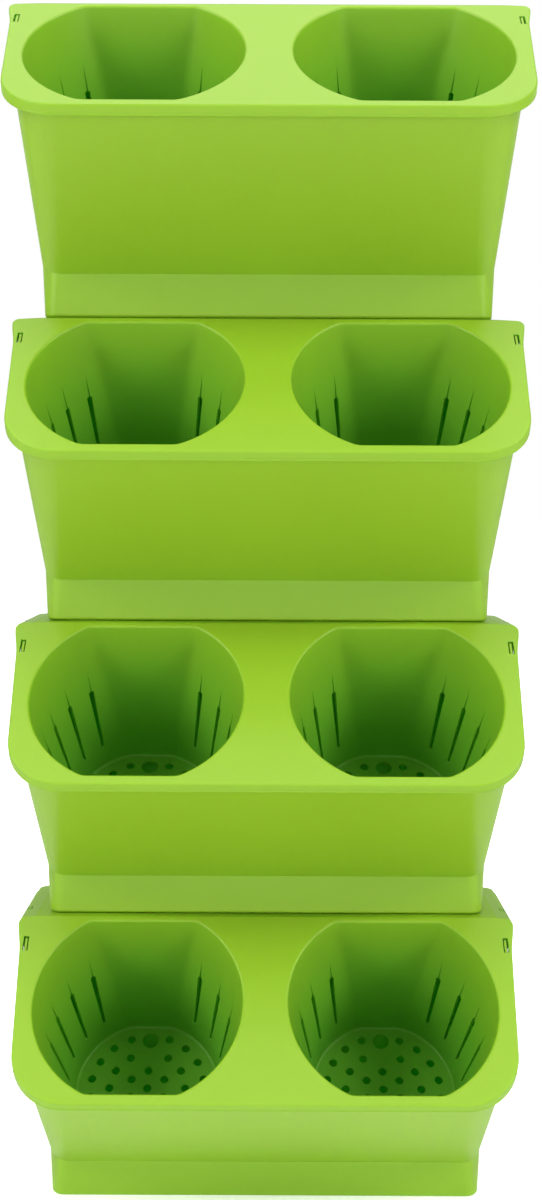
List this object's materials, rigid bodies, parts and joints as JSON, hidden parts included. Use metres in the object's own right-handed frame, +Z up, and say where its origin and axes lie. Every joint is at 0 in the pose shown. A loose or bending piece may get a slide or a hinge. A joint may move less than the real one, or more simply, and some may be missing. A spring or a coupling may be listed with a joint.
{
  "type": "vertical planter tower",
  "caption": "Tower of stacked planting tiers against a wall, each a water trough closed by a sloping tray with slotted baskets, standing on the flat ledge of the tier below.",
  "frame": {"origin": "centre of the bounding box at floor level, under the bottom trough", "axes": "+X to the right seen from the front, +Y to the wall behind the tower, +Z up"},
  "size_m": [0.319, 0.1622, 0.7617],
  "materials": {
    "trough_plastic": "satin moulded plastic, yellow-green",
    "tray_plastic": "satin moulded plastic, yellow-green",
    "tube_plastic": "satin moulded plastic, yellow-green"
  },
  "bodies": {
    "trough_1": {"trough_1": "trough_plastic", "overflow_tube_1": "tube_plastic"},
    "planting_tray_1": {"planting_tray_1": "tray_plastic"},
    "trough_2": {"trough_2": "trough_plastic", "overflow_tube_2": "tube_plastic"},
    "planting_tray_2": {"planting_tray_2": "tray_plastic"},
    "trough_3": {"trough_3": "trough_plastic", "overflow_tube_3": "tube_plastic"},
    "planting_tray_3": {"planting_tray_3": "tray_plastic"},
    "trough_4": {"trough_4": "trough_plastic", "overflow_tube_4": "tube_plastic"},
    "planting_tray_4": {"planting_tray_4": "tray_plastic"}
  },
  "joints": [
    {"name": "lift_tray_1", "type": "slide", "parent": "trough_1", "child": "planting_tray_1", "axis": [0, -0.6852, 0.7284], "range_m": [0, 0.14]},
    {"name": "lift_trough_2", "type": "slide", "parent": "planting_tray_1", "child": "trough_2", "axis": [0, 0, 1], "range_m": [0, 0.08]},
    {"name": "lift_tray_2", "type": "slide", "parent": "trough_2", "child": "planting_tray_2", "axis": [0, -0.6852, 0.7284], "range_m": [0, 0.14]},
    {"name": "lift_trough_3", "type": "slide", "parent": "planting_tray_2", "child": "trough_3", "axis": [0, 0, 1], "range_m": [0, 0.08]},
    {"name": "lift_tray_3", "type": "slide", "parent": "trough_3", "child": "planting_tray_3", "axis": [0, -0.6852, 0.7284], "range_m": [0, 0.14]},
    {"name": "lift_trough_4", "type": "slide", "parent": "planting_tray_3", "child": "trough_4", "axis": [0, 0, 1], "range_m": [0, 0.08]},
    {"name": "lift_tray_4", "type": "slide", "parent": "trough_4", "child": "planting_tray_4", "axis": [0, -0.6852, 0.7284], "range_m": [0, 0.14]}
  ]
}
